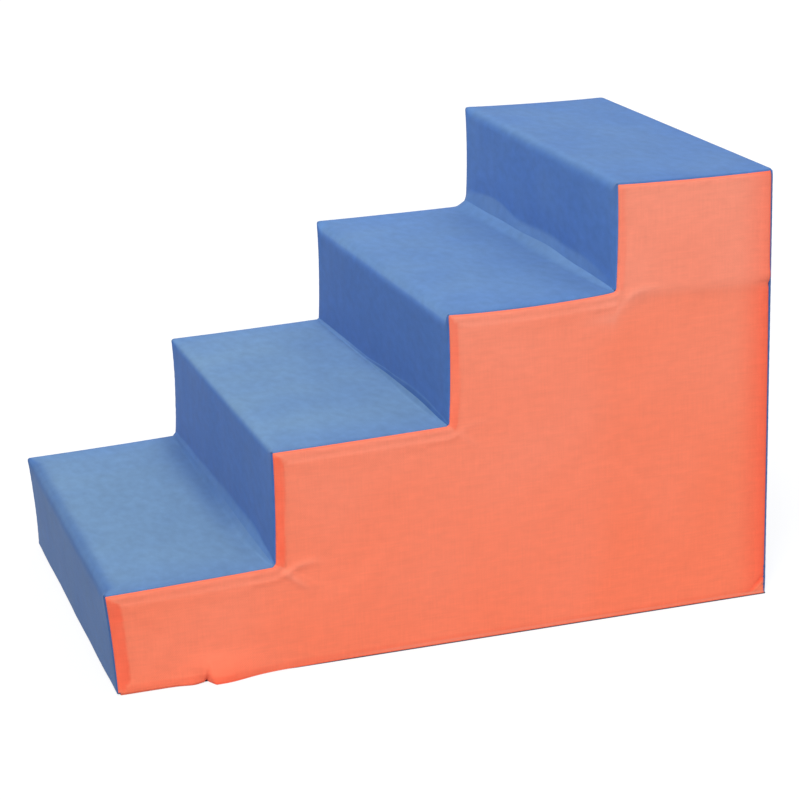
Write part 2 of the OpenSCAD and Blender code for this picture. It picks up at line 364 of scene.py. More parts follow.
def build_nap_group():
    """Short brushed nap: its fine height, and patches where the nap lies another way."""
    waves = {"Height": (1300.0, 0.6, 2.0), "Patch": (120.0, 0.6, 3.0), "Drift": (22.0, 0.5, 2.0)}
    tree, given, made = new_group("short_nap", [("Vector", "NodeSocketVector")], list(waves))
    for name, (scale, stretch, detail) in waves.items():
        value = stretched_noise(tree, given["Vector"], scale, (stretch, 1.0, 1.0), detail)
        feed(tree, made[name], value)
    return tree


def tone(tree, value, low, high, centre=0.5, spread=0.25):
    """Maps a noise value round its centre to a factor between low and high."""
    return add_node(tree, "ShaderNodeMapRange", Value=value, From_Min=centre - spread,
                    From_Max=centre + spread, To_Min=low, To_Max=high).outputs["Result"]


def varied(tree, value, share):
    """Maps a noise value to a factor that lies within the share of 1."""
    return tone(tree, value, 1 - share, 1 + share)


def paint(tree, shader, colour, factors):
    """Sets the base colour to a colour multiplied by each of the grey factors."""
    grey = factors[0]
    for factor in factors[1:]:
        grey = maths(tree, "MULTIPLY", grey, factor)
    combined = add_node(tree, "ShaderNodeCombineColor", Red=grey, Green=grey, Blue=grey).outputs["Color"]
    feed(tree, shader.inputs["Base Color"], mix_colour(tree, 1.0, colour, combined, "MULTIPLY"))


def bump(tree, shader, height, distance, strength=1.0, below=None):
    made = add_node(tree, "ShaderNodeBump", Height=height, Distance=distance, Strength=strength, Normal=below)
    feed(tree, shader.inputs["Normal"], made.outputs["Normal"])
    return made.outputs["Normal"]


def flat_place(tree):
    return add_node(tree, "ShaderNodeUVMap", uv_map="UVMap").outputs["UV"]


def object_place(tree):
    return add_node(tree, "ShaderNodeTexCoord").outputs["Object"]


def vertex_tone(tree, name):
    return add_node(tree, "ShaderNodeAttribute", attribute_name=name).outputs["Fac"]


def tread_material(nap):
    """Blue suede-like cloth with a short nap, its colour carrying painted sheen, light and shade from the
    vertex tones.
    """
    material, tree, shader = new_material("blue_nap_cloth", 0.85, Sheen_Weight=0.12, Sheen_Roughness=0.4,
                                          Sheen_Tint=(0.75, 0.85, 1.0, 1.0), Specular_IOR_Level=0.12)
    cloth = add_node(tree, "ShaderNodeGroup", node_tree=nap, Vector=flat_place(tree)).outputs
    base = mix_colour(tree, vertex_tone(tree, "wear_and_light"), deep_blue, pale_blue)
    factors = [varied(tree, cloth["Patch"], 0.085), varied(tree, cloth["Drift"], 0.05),
               varied(tree, cloth["Height"], 0.025), vertex_tone(tree, "shade")]
    paint(tree, shader, base, factors)
    feed(tree, shader.inputs["Roughness"], tone(tree, cloth["Patch"], 0.8, 0.92))
    soft = bump(tree, shader, cloth["Patch"], 0.2 * mm, 0.5)
    bump(tree, shader, cloth["Height"], 0.2 * mm, 0.6, soft)
    return material


def weave_on(tree, weave, place, threads):
    return add_node(tree, "ShaderNodeGroup", node_tree=weave, Vector=place, Threads=threads).outputs


def side_material(weave):
    """Coral orange plain weave, deeper in colour where the seam allowance backs it, painted lighter towards
    the top and over folds, with painted shade in the fold at the back corner.
    """
    material, tree, shader = new_material("orange_woven_cloth", 0.8, Sheen_Weight=0.2, Sheen_Roughness=0.4,
                                          Sheen_Tint=(1.0, 0.85, 0.8, 1.0), Specular_IOR_Level=0.25)
    cloth = weave_on(tree, weave, flat_place(tree), 1300.0)
    open_cloth = mix_colour(tree, vertex_tone(tree, "side_painted_light"), orange, lit_orange)
    base = mix_colour(tree, vertex_tone(tree, "band"), open_cloth, seam_orange)
    paint(tree, shader, base, [varied(tree, cloth["Streak"], 0.045), varied(tree, cloth["Mottle"], 0.04)])
    feed(tree, shader.inputs["Roughness"], tone(tree, cloth["Mottle"], 0.74, 0.86))
    soft = bump(tree, shader, cloth["Streak"], 0.2 * mm, 0.7)
    bump(tree, shader, cloth["Height"], 0.08 * mm, 0.8, soft)
    return material


def woven_material(name, weave, colour, threads, coordinate="UV"):
    """Plain woven cloth of one colour, for the base and the zipper tapes."""
    material, tree, shader = new_material(name, 0.85, Sheen_Weight=0.15, Specular_IOR_Level=0.25)
    place = add_node(tree, "ShaderNodeTexCoord").outputs[coordinate]
    cloth = weave_on(tree, weave, place, threads)
    paint(tree, shader, colour, [varied(tree, cloth["Streak"], 0.15), varied(tree, cloth["Mottle"], 0.08)])
    bump(tree, shader, cloth["Height"], 0.15 * mm)
    return material


def foam_material():
    """Cream open-cell foam, with fine pores painted darker as shade in their hollows."""
    material, tree, shader = new_material("cream_foam", 0.95, Specular_IOR_Level=0.15)
    place = object_place(tree)
    cells = add_node(tree, "ShaderNodeTexVoronoi", Vector=place, Scale=700.0).outputs["Distance"]
    drift = stretched_noise(tree, place, 20.0, (1.0, 1.0, 1.0))
    paint(tree, shader, cream, [tone(tree, cells, 0.82, 1.04, 0.4, 0.4), varied(tree, drift, 0.04)])
    bump(tree, shader, cells, 0.6 * mm)
    return material


def coil_material():
    """Nylon zipper coil: its turns show as ridges along both runs, in the bump and as painted light and
    shade.
    """
    material, tree, shader = new_material("navy_nylon_coil", 0.4)
    pitch = 1.2 * mm
    split = add_node(tree, "ShaderNodeSeparateXYZ", Vector=object_place(tree))
    along = maths(tree, "ADD", split.outputs["X"], split.outputs["Y"])
    turns = maths(tree, "SINE", maths(tree, "MULTIPLY", along, 2 * math.pi / pitch))
    paint(tree, shader, nylon, [tone(tree, turns, 0.6, 1.3, 0.0, 1.0)])
    bump(tree, shader, turns, 0.3 * mm)
    return material


def metal_material():
    """Nickel-plated zinc, brushed along the zipper and duller where fingers rub it."""
    material, tree, shader = new_material("nickel_plate", 0.3, Metallic=1.0)
    place = object_place(tree)
    brushed = stretched_noise(tree, place, 4000.0, (1.0, 0.05, 1.0))
    rubbed = stretched_noise(tree, place, 350.0, (1.0, 1.0, 1.0), 4.0)
    paint(tree, shader, nickel, [tone(tree, rubbed, 0.86, 1.08)])
    feed(tree, shader.inputs["Roughness"], tone(tree, brushed, 0.2, 0.42))
    bump(tree, shader, brushed, 0.03 * mm)
    return material


# Step cloths: each is one riser and tread, from seam to seam

def rounded(points, radii, rows):
    """Points along a path with soft corners: rows[i] of them on each straight, turn_rows at each corner."""
    points = [Vector(p) for p in points]
    path, start = [], points[0]
    for i, (before, point, after) in enumerate(zip(points, points[1:], points[2:])):
        a, b = before - point, after - point
        half_angle = max(a.angle(b) / 2, 0.1)
        reach = min(radii[i] / math.tan(half_angle), 0.45 * a.length, 0.45 * b.length)
        first, last = point + a.normalized() * reach, point + b.normalized() * reach
        path += [start.lerp(first, j / rows[i]) for j in range(rows[i])]
        for j in range(turn_rows):
            t = j / turn_rows
            path.append(first.lerp(point, t).lerp(point.lerp(last, t), t))
        start = last
    path += [start.lerp(points[-1], j / rows[-1]) for j in range(rows[-1] + 1)]
    return [[p.x, p.y] for p in path]


def nosing_at(k, x):
    """The edge between riser and tread k; it stands out at its sewn ends."""
    tip = tip_out * smooth(1 - (half - abs(x)) / tip_reach) ** 2
    return Vector((riser_y[k] + across(riser_shift[k], x) - tip,
                   level_z[k + 1] + across(nosing_lift[k], x) + tip))


def inner_at(k, x):
    """The inner corner at the foot of riser k."""
    return Vector((riser_y[k] - riser_lean + across(riser_shift[k], x),
                   level_z[k] + tread_rise + across(foot_lift[k - 1], x)))


def bridge_at(k, x):
    """The cloth across inner corner k: its end on the tread, its seam and its end on the riser."""
    corner = inner_at(k, x)
    pinch = lerp(0.3 if x > 0 else 0.6, 1.0, smooth((half - abs(x)) / cove_pinch)) * mm
    pinch *= 1 + 0.1 * noise.noise(Vector((x / (50 * mm), k, 0)))
    up = (nosing_at(k, x) - corner).normalized()
    out = (nosing_at(k - 1, x) - corner).normalized()
    reach = along_corner(cove_low[k], x) * pinch
    low = corner + out * reach
    seam = corner + out * reach * seam_out_share[k] + up * along_corner(cove_seam[k], x) * pinch
    high = corner + up * along_corner(cove_high[k], x) * pinch
    return low, seam, high


def step_path(k, x):
    """Rows of step cloth k at the place x across the stairs, as [y, z]."""
    radius = lerp(tip_r[k][int(x > 0)], nosing_r[k], smooth((half - abs(x)) / (nosing_reach[k] * mm))) * mm
    if k == 0:
        start, radii = [(front_y + turned_under, 0.8 * mm), (front_y, 1.4 * mm)], [2.5 * mm]
    else:
        start, radii = list(bridge_at(k, x)[1:]), [cove_turn_r]
    if k == STEPS - 1:
        end = [(turn_y, level_z[k + 1] + across(nosing_lift[k], x) * 0.3)]
    else:
        end = list(bridge_at(k + 1, x)[:2])
    radii = radii + [radius] + [cove_turn_r] * (len(end) - 1)
    return rounded(start + [nosing_at(k, x)] + end, radii, path_rows[:len(end) + 2])


def column_places():
    """Places across the stairs, close together at the side seams."""
    edge = np.array([0, 0.4, 0.9, 1.6, 2.6, 4, 6, 8.5, 11.5, 15, 19]) * mm
    side = half - seam_in - edge
    middle = np.linspace(-side[-1], side[-1], 84)[1:-1]
    return np.concatenate([-side, middle, side[::-1]])


def seam_roll(d):
    """Depth of the cloth's round edge at a distance d inside its seam."""
    return seam_in * (1 - np.sqrt(1 - (1 - clamp(d / seam_in)) ** 2))


def face_arch(share):
    """0 at both ends of a face and 1 over most of it."""
    return np.sin(np.pi * clamp((share - 0.03) / 0.94)) ** 0.7


def step_cloth(k):
    """Points of a step cloth as [row, column], with their flat places and tones."""
    columns = column_places()
    path = np.array([step_path(k, x) for x in columns]).transpose(1, 0, 2)
    points = np.empty(path.shape[:2] + (3,))
    points[..., 0] = columns
    points[..., 1:] = path
    inset = half - seam_in - np.abs(points[..., 0])
    if k == STEPS - 1:
        points, inset = round_back_corners(points, columns)
    rows = len(points)
    on_riser = (np.arange(rows) < nosing_row)[:, None]
    riser_arch = face_arch((points[..., 2] - level_z[k]) / (level_z[k + 1] - level_z[k]))
    tread_arch = face_arch((points[..., 1] - riser_y[k]) / (tread_end[k] - riser_y[k]))
    arch = np.where(on_riser, riser_arch * across(riser_draw[k], columns),
                    tread_arch * across(tread_draw[k], columns))
    side_draw = np.where(on_riser, riser_arch * riser_side_draw[k], 0.25 * tread_arch) * mm
    fall = clamp(1 - inset / draw_reach) ** 2
    points[..., 0] -= np.sign(points[..., 0]) * side_draw * fall
    normal = np.cross(np.gradient(points, axis=1), np.gradient(points, axis=0))
    normal /= np.linalg.norm(normal, axis=2, keepdims=True)
    middle = points[:, len(columns) // 2]
    flat = np.concatenate([[0], np.cumsum(np.linalg.norm(np.diff(middle, axis=0), axis=1))])
    rest = points.reshape(-1, 3)

    def rippled(size, seed):
        return ripple(rest, size, seed).reshape(rows, -1)

    waves = 0.55 * rippled(75 * mm, k + 1) + 0.22 * rippled(28 * mm, k + 11)
    lines = rippled((100 * mm, 12 * mm, 12 * mm), k + 21)
    pucker = np.sin(2 * np.pi * flat[:, None] / (8 * mm) + 2.5 * rippled(20 * mm, k + 31))
    relief = waves + 0.16 * lines * smooth(1 - np.abs(inset - 30 * mm) / (50 * mm))
    relief += 0.22 * pucker * fade(inset, pucker_reach)
    from_ends = np.minimum(flat if k > 0 else 1.0, flat[-1] - flat if k < STEPS - 1 else 1.0)
    quiet = smooth(inset / (3 * mm)) * smooth(from_ends / (8 * mm))[:, None]
    shift = relief * quiet * mm - arch * fall - seam_roll(inset)
    points = points + normal * shift[..., None]
    points[..., 2] = np.maximum(points[..., 2], 0.6 * mm)
    uv = np.stack(np.broadcast_arrays(columns, flat[:, None]), axis=-1)
    from_nosing = (flat - flat[nosing_row])[:, None]
    mottle = rippled(45 * mm, k + 5)
    return points, uv, step_tones(k, columns, points, normal, inset, from_nosing, mottle)


def step_tones(k, columns, points, normal, inset, from_nosing, mottle):
    """How much wear with painted sheen, and how much painted light and shade, a step cloth has at each point.
    """
    rows = len(points)
    # Treads painted lighter than risers, as if lit from above, mixed with their wear
    upward = smooth((normal[..., 2] - turn_from[k]) / turn_width[k])
    wear_and_light = lerp(riser_wear_and_sheen[k], tread_wear_and_sheen[k], upward)
    shade = lerp(riser_tone[k], tread_tone[k], upward)
    if k < STEPS - 1:
        # Painted shade on the tread next to the inner corner, greyer and darker
        before = tread_end[k] - riser_lean - along_corner(cove_low[k + 1], columns) * mm - points[..., 1]
        dim = along_corner(corner_painted_shade[k + 1], columns) * bell(np.maximum(before, 0), corner_shade_reach[k + 1])
        wear_and_light = lerp(wear_and_light, 0.3, clamp(2.2 * dim * upward))
        shade = shade * (1 - dim * upward)
        # Painted light and shade on the facet below the seam across the inner corner
        on_cove = smooth((np.arange(rows) - rows + path_rows[-1] + turn_rows) / turn_rows)[:, None]
        wear_and_light = lerp(wear_and_light, along_corner(low_facet_wear_and_light[k + 1], columns), on_cove)
        shade = lerp(shade, along_corner(low_tone[k + 1], columns), on_cove)
    if k > 0:
        # Painted light and shade on the facet above the seam across the inner corner
        on_cove = smooth((foot_row - np.arange(rows)) / turn_rows)[:, None]
        wear_and_light = lerp(wear_and_light, along_corner(high_facet_wear_and_light[k], columns), on_cove)
        shade = lerp(shade, along_corner(high_tone[k], columns), on_cove)
    # Painted highlight along each nosing, painted shade where its value is below 0
    nosing_band = bell(from_nosing - nosing_centre[k] * mm, nosing_width[k] * mm)
    wear_and_light = wear_and_light * (1 - 0.35 * fade(inset, 24 * mm) * upward) + 0.12 * mottle + nosing_band_wear_and_light[k] * nosing_band
    # Painted shade at each nosing's sewn ends, and on the lit roll along the side seams
    corner_shade = 0.4 * bell(from_nosing, 4 * mm) * bell(inset, 3 * mm)
    shade *= (1 + nosing_light_and_shade[k] * nosing_band) * (1 - 0.25 * fade(inset, 1 * mm) - corner_shade)
    return {"wear_and_light": wear_and_light, "shade": shade}


def round_back_corners(points, columns):
    """Adds the last rows of the top tread, which follow the round back corners down to the back seam."""
    seam_r = corner_r - seam_in
    rows = [points]
    for turn in np.radians(np.linspace(0, 90, back_rows + 1))[1:]:
        row = points[-1].copy()
        row[:, 0] = columns * (turn_x + seam_r * math.cos(turn)) / (half - seam_in)
        row[:, 1] = turn_y + seam_r * math.sin(turn)
        rows.append(row[None])
    points = np.concatenate(rows)
    x, y = np.abs(points[..., 0]) - turn_x, points[..., 1] - turn_y
    round_inset = seam_r - np.hypot(np.maximum(x, 0), np.maximum(y, 0))
    inset = np.where((x > 0) | (y > 0), round_inset, seam_r - np.maximum(x, y))
    return points, np.maximum(inset, 0)


def grid_object(name, points, uv, tones):
    """A cloth from a primitive grid whose vertices are then shaped."""
    rows, columns = points.shape[:2]
    bpy.ops.mesh.primitive_grid_add(x_subdivisions=columns - 1, y_subdivisions=rows - 1, size=1)
    obj = just_added(name)
    obj.data.vertices.foreach_set("co", points.astype(np.float32).ravel())
    set_uv(obj.data, uv.reshape(-1, 2))
    set_tones(obj.data, tones)
    return obj


def finish_cloth(obj, material, node):
    apply_modifier(obj, "SOLIDIFY", thickness=cloth_t, offset=-1.0)
    give_material(obj, material)
    bpy.ops.object.shade_smooth_by_angle(angle=math.radians(65))
    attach(obj, "stairs")
    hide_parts(node)


# Side and back cloths: flat cuts, drawn as [along, up], whose edges turn in to their seams

# Kinds of edge: the four risers, then these, with the tone, width and ridge of the allowance along each
TREAD, TOP, BACK, SEWN, HEM = range(STEPS, STEPS + 5)
KIND_TONE = np.array(band_tone + [0.04, 0.04, 0.04, 0.3, 0.25])
KIND_WIDTH = np.array(band_width + [5.0, 8.0, 9.0, 9.0, 7.0]) * mm
KIND_RIDGE = np.array([1.0, 0.9, 0.6, 0.4, 0.3, 0.3, 0.5, 0.3, 0.0])


def nearest_edge(points, outline):
    """Distance from each point to the outline, and which side of it is nearest."""
    start, end = outline, np.roll(outline, -1, axis=0)
    way = end - start
    length = np.maximum((way ** 2).sum(1), 1e-18)
    distance, index = np.empty(len(points)), np.empty(len(points), dtype=int)
    for first in range(0, len(points), 2000):
        part = points[first:first + 2000, None, :]
        t = clamp(((part - start) * way).sum(2) / length)
        gap = np.linalg.norm(part - (start + way * t[..., None]), axis=2)
        index[first:first + 2000] = gap.argmin(1)
        distance[first:first + 2000] = gap.min(1)
    return distance, index


def inside(points, outline):
    """Which points lie inside the outline."""
    x, y = points[:, 0:1], points[:, 1:2]
    (ax, ay), (bx, by) = outline.T, np.roll(outline, -1, axis=0).T
    crosses = (ay > y) != (by > y)
    at = ax + (y - ay) * (bx - ax) / np.where(by == ay, 1e-12, by - ay)
    return (crosses & (x < at)).sum(1) % 2 == 1


def thinned(points, gaps):
    """Drops each point that lies closer than its gap to one kept before it."""
    cell, kept, taken = 2.5 * mm, [], {}
    for point, gap in zip(points, gaps):
        key = (int(point[0] // cell), int(point[1] // cell))
        reach = 1 + int(gap // cell)
        near = [q for i in range(-reach, reach + 1) for j in range(-reach, reach + 1)
                for q in taken.get((key[0] + i, key[1] + j), ())]
        if all((q[0] - point[0]) ** 2 + (q[1] - point[1]) ** 2 >= gap * gap for q in near):
            taken.setdefault(key, []).append(point)
            kept.append(point)
    return np.array(kept)


def cut_points(outline, patches):
    """Points inside a cut: rings along its edge, fine patches at folds, and an even grid in the middle."""
    rings = np.array([0.4, 0.9, 1.6, 2.6, 4, 6, 8, 8.7, 9.4, 10.2, 12.5]) * mm
    along = np.roll(outline, -1, axis=0) - np.roll(outline, 1, axis=0)
    inward = np.stack([-along[:, 1], along[:, 0]], axis=1)
    inward /= np.maximum(np.linalg.norm(inward, axis=1, keepdims=True), 1e-9)
    found = [outline + inward * ring for ring in rings]
    gaps = [np.full(len(outline) * len(rings), 1.4 * mm)]
    least = [np.repeat(rings, len(outline)) * 0.93]
    for centre, radius, step in patches:
        places = np.arange(-radius, radius, step)
        grid = np.stack(np.meshgrid(places, places), axis=-1).reshape(-1, 2)
        found.append(grid[np.hypot(*grid.T) < radius] + np.array(centre))
        gaps.append(np.full(len(found[-1]), step * 0.6))
    step = 5 * mm
    spans = [np.arange(low, high, step) for low, high in zip(outline.min(0), outline.max(0))]
    found.append(np.stack(np.meshgrid(*spans), axis=-1).reshape(-1, 2))
    gaps.append(np.full(len(found[-1]), step * 0.7))
    points, gaps = np.concatenate(found), np.concatenate(gaps)
    least.append(np.full(len(points) - len(least[0]), 1.2 * mm))
    distance, _ = nearest_edge(points, outline)
    keep = inside(points, outline) & (distance >= np.concatenate(least))
    return thinned(points[keep], gaps[keep])


def cut_cloth(name, cut, patches, shape, turned):
    """A cloth from its edge points, in which shape places each flat point; turned puts its outside out."""
    outline, fixed, kinds = zip(*cut)
    outline = np.array(outline)
    points = np.concatenate([outline, cut_points(outline, patches)])
    edge = [(i, (i + 1) % len(outline)) for i in range(len(outline))]
    flat, _, faces, origin, _, _ = geometry.delaunay_2d_cdt([Vector(p) for p in points], edge, [], 1, 1e-7)
    flat = np.array([[p.x, p.y] for p in flat])
    distance, nearest = nearest_edge(flat, outline)
    places, tones = shape(flat, distance, np.take(kinds, nearest), nearest)
    for i, sources in enumerate(origin):
        if sources and sources[0] < len(outline) and fixed[sources[0]] is not None:
            places[i] = fixed[sources[0]]
    obj = mesh_object(name, places.tolist(), faces)
    set_uv(obj.data, flat)
    set_tones(obj.data, tones)
    if turned:
        edit_whole(obj, bpy.ops.mesh.flip_normals)
    return obj


def corner_folds(y, z, corner):
    """Height in mm of two soft folds from an inner corner: one arches level, the other slants down."""
    y, z = (y - corner.x) / mm, (z - corner.y) / mm
    arch = bell(z + 1 + 12 * fade(np.maximum(y, 0) - 8, 8), 3.2)
    arch *= smooth((y - 9) / 5) * smooth((54 - y) / 32)
    along, across_fold = 0.76 * y - 0.65 * z, 0.65 * y + 0.76 * z
    slanted = bell(across_fold, 3.2) * smooth((along - 8) / 6) * smooth((50 - along) / 30)
    return 1.2 * arch, 1.3 * slanted


def top_joint(y, z, corner):
    """The crease below the top foam slab, from the last inner corner to the back.

    Gives its relief in mm, how far a point lies above it from -1 to 1, and a painted highlight for the fold
    over its start.
    """
    past = np.maximum(y - corner.x, 0)
    over = z - level_z[3] + 26 * mm * fade(past, 11 * mm) + 0.03 * past
    near = smooth((y - corner.x + 40 * mm) / (50 * mm))
    upper = np.tanh(over / lerp(11 * mm, 3.5 * mm, smooth(past / (50 * mm)))) * near
    relief = 0.75 * upper * fade(np.abs(over), 48 * mm) * smooth((past + 3 * mm) / (30 * mm))
    return relief, upper, bell(over - 7 * mm, 4 * mm) * fade(past, 18 * mm) * near


def hem_pucker(y, z):
    """The pinch in the right hem where the zipper ends, and the flare of the cloth round it, in mm."""
    pinch = 3.4 * bell(y - pucker_y - 0.12 * z, 1.5 * mm) * smooth(1 - z / (19 * mm))
    flare = bell(np.maximum(pucker_y + 7 * mm - y, 0), 3.2 * mm + 0.6 * z)
    flare *= bell(np.maximum(y - pucker_y - 12 * mm, 0), 30 * mm)
    flare = 9.0 * flare + 2.6 * bell(y - pucker_y + 12 * mm, 10 * mm)
    return pinch, flare * smooth(1 - z / (36 * mm)) ** 1.5


def upright_relief(space, distance, kind, seed, wave, swell, pucker):
    """Waves, swell and seam puckers of a side or back cloth, in mm, each of the given height."""
    waves = wave * (ripple(space, 90 * mm, seed) + 0.4 * ripple(space, 30 * mm, seed + 10))
    relief = waves * smooth(distance / quiet_reach) + swell * smooth(distance / swell_reach)
    drift = 2.5 * ripple(space, 20 * mm, seed + 20)
    puckers = pucker * np.sin(2 * np.pi * (space[:, 0] + space[:, 1]) / pucker_pitch + drift)
    return relief + puckers * fade(distance, pucker_reach) * smooth(distance / (2 * mm)) * (kind != HEM)


def wrapped(place, straight, depth, distance, kind):
    """Where a flat place lies along its face and off it, with the turns at seams and round a back edge."""
    depth = depth + seam_roll(distance) * (kind != HEM)
    turn = np.maximum(place - straight, 0) / corner_r
    radius = corner_r - depth
    along = np.where(turn > 0, straight + radius * np.sin(turn), place)
    return along, np.where(turn > 0, radius * np.cos(turn) - corner_r, -depth)


def unrolled(along, straight, off):
    """Flat place of a seam point on a face or round its back edge, and how far round that edge it lies."""
    turn = math.atan2(along - straight, off) if along > straight else 0.0
    return (straight + corner_r * turn if along > straight else along), turn


def edge_run(a, b, step, kind):
    """Edge points from a up to but not including b, as (flat place, fixed place, kind of edge)."""
    count = max(int(math.dist(a, b) / step), 1)
    way = np.array(b) - np.array(a)
    return [(tuple(np.array(a) + way * i / count), None, kind) for i in range(count)]


def hem_bottom(y, open_side):
    """Height of the lower edge of a side cloth."""
    if y < pucker_y:
        return (0.15 + 0.45 * smooth((y - pucker_y + 12 * mm) / (10 * mm))) * mm
    low = lerp(0.4 * mm, hem_low, smooth((y - pucker_y - 20 * mm) / (120 * mm)))
    if open_side:
        low = lerp(low, slit_low, smooth((y - zip_y) / (4 * mm)) * smooth((back_y - 6 * mm - y) / (8 * mm)))
    return low


def side_outline(sign, seam):
    """Edge points of a side cloth: the hem, the back edge, then the seam along treads and risers."""
    end_y = turn_y + corner_r * seam_turn
    y = front_y + turned_under
    cut = []
    while y < end_y - 1 * mm:
        cut.append(((y, hem_bottom(y, sign < 0)), None, SEWN if y < zip_y else HEM))
        y += 1.2 * mm if abs(y - pucker_y) < 16 * mm else 3 * mm
    sewn = []
    for point, kind in seam:
        place, turn = unrolled(point[1], turn_y, abs(point[0]) - turn_x)
        if turn <= seam_turn + 0.01:
            sewn.append(((place, point[2]), tuple(point), kind))
    cut += edge_run((end_y, hem_bottom(end_y, sign < 0)), sewn[-1][0], edge_step, BACK)
    return cut + sewn[:0:-1]


def side_cloth(name, sign, seam):
    """A stair-shaped side cloth; sign is 1 for the right one and -1 for the left one."""
    cut = side_outline(sign, seam)
    seam_depth = np.array([0.0 if p is None else half - abs(p[0]) - seam_in for _, p, _ in cut])
    inner = [inner_at(k, sign * half) for k in (1, 2, 3)]
    strength = [(1.0, 1.1), (0.3, 0.4), (0.6, 0.0)] if sign > 0 else [(0.6, 0.9), (0.7, 0.4), (0.5, 0.7)]
    patches = [((pucker_y, 8 * mm), 22 * mm, 1.1 * mm)]
    patches += [((c.x + 8 * mm, c.y - 4 * mm), 30 * mm, 1.8 * mm) for c in inner]
    patches += [((back_y - 9 * mm, 10 * mm), 18 * mm, 1.6 * mm)] * (sign > 0)

    def shape(flat, distance, kind, nearest):
        y, z = flat.T
        space = np.stack([y, z, np.full(len(y), sign * 0.3)], axis=1)
        reach = KIND_WIDTH[kind] * (1 + 0.12 * ripple(space, 30 * mm, 95))
        folds = np.zeros(len(y))
        for corner, (level_fold, slanted_fold) in zip(inner, strength):
            arch, slanted = corner_folds(y, z, corner)
            folds += level_fold * arch + slanted_fold * slanted
        joint, upper, fold_highlight = top_joint(y, z, inner[2])
        beside_tread = (kind == TREAD) * smooth(1 - np.maximum(y - inner[2].x, 0) / (4 * mm))
        out = folds + joint
        out += upright_relief(space, distance, kind, seed=41, wave=0.5, swell=0.5, pucker=0.16)
        out -= KIND_RIDGE[kind] * smooth((distance - reach + 0.8 * mm) / (1.6 * mm))
        out += 0.62 * bell(distance - 12 * mm, 2.2 * mm) * beside_tread
        out += 0.3 * bell(distance - 4.5 * mm, 1.5 * mm) * beside_tread
        band = KIND_TONE[kind] * smooth((reach + 0.6 * mm - distance) / (2 * mm))
        band *= 0.85 + 0.3 * ripple(space, 20 * mm, 97)
        band += 0.8 * smooth(1 - (back_y - y) / (42 * mm)) ** 1.3 * (0.78 - 0.22 * upper)
        band += 0.4 * smooth((2.4 * mm - distance) / (1.4 * mm)) * (kind >= TREAD)
        # Painted light: lighter towards the top, above the top crease, on fold ridges, below each tread edge
        # and on the fold at the top crease, with random tone
        side_painted_light = 0.08 + 0.62 * z / stairs_h + 0.16 * upper + 0.2 * folds + 0.12 * ripple(space, 60 * mm, 99)
        side_painted_light += 0.18 * smooth((13 * mm - distance) / (3 * mm)) * beside_tread + 0.3 * fold_highlight
        at_back = smooth((y - back_y + 24 * mm) / (18 * mm))
        hem = smooth((hem_start - z) / (hem_start - hem_low)) * (y > zip_y - 2 * mm)
        depth = hem * hem_in / mm * (1 - at_back)
        if sign > 0:
            pinch, flare = hem_pucker(y, z)
            ear = y - back_y + 20 * mm - z
            ear_fold = 1.1 * bell(ear - 1 * mm, 2 * mm) - 0.9 * bell(ear + 3 * mm, 2 * mm)
            dent = bell(z - level_z[3] + 3 * mm, 3 * mm) - 0.5 * bell(z - level_z[3] - 5 * mm, 5 * mm)
            out += flare - pinch + ear_fold * at_back * smooth(distance / (5 * mm))
            out += 0.3 * bell(z - 6 * mm, 1.6 * mm) * smooth((y - pucker_y) / (20 * mm))
            out -= 1.5 * dent * bell(np.maximum(back_y - 8 * mm - y, 0), 9 * mm)
            # Painted highlight along the hem's fold; painted shade in the ear fold at the back corner and on
            # the flare, with painted light above the ear fold
            hem_highlight = bell(z - 3.2 * mm, 1.3 * mm) * smooth((y - pucker_y - 90 * mm) / (90 * mm))
            band += 0.05 * flare + 0.4 * bell(ear + 3 * mm, 3 * mm) * at_back
            band = (band - 0.75 * smooth((ear + 1 * mm) / (2 * mm))) * (1 - 0.9 * hem_highlight)
            side_painted_light += 0.9 * hem_highlight
        else:
            held = smooth((y - zip_y) / (6 * mm)) * smooth((back_y - 4 * mm - y) / (8 * mm))
            depth = lerp(depth, slit_in / mm * smooth((hem_start - z) / (4 * mm)), held)
            out *= 1 - held * smooth((hem_start + 6 * mm - z) / (6 * mm))
        inward = (depth - out) * mm + seam_depth[nearest] * clamp(1 - distance / reach)
        along, off = wrapped(y, turn_y, inward, distance, kind)
        return np.stack([sign * (half + off), along, z], axis=1), {"band": band, "side_painted_light": side_painted_light}

    return cut_cloth(name, cut, patches, shape, turned=sign < 0)


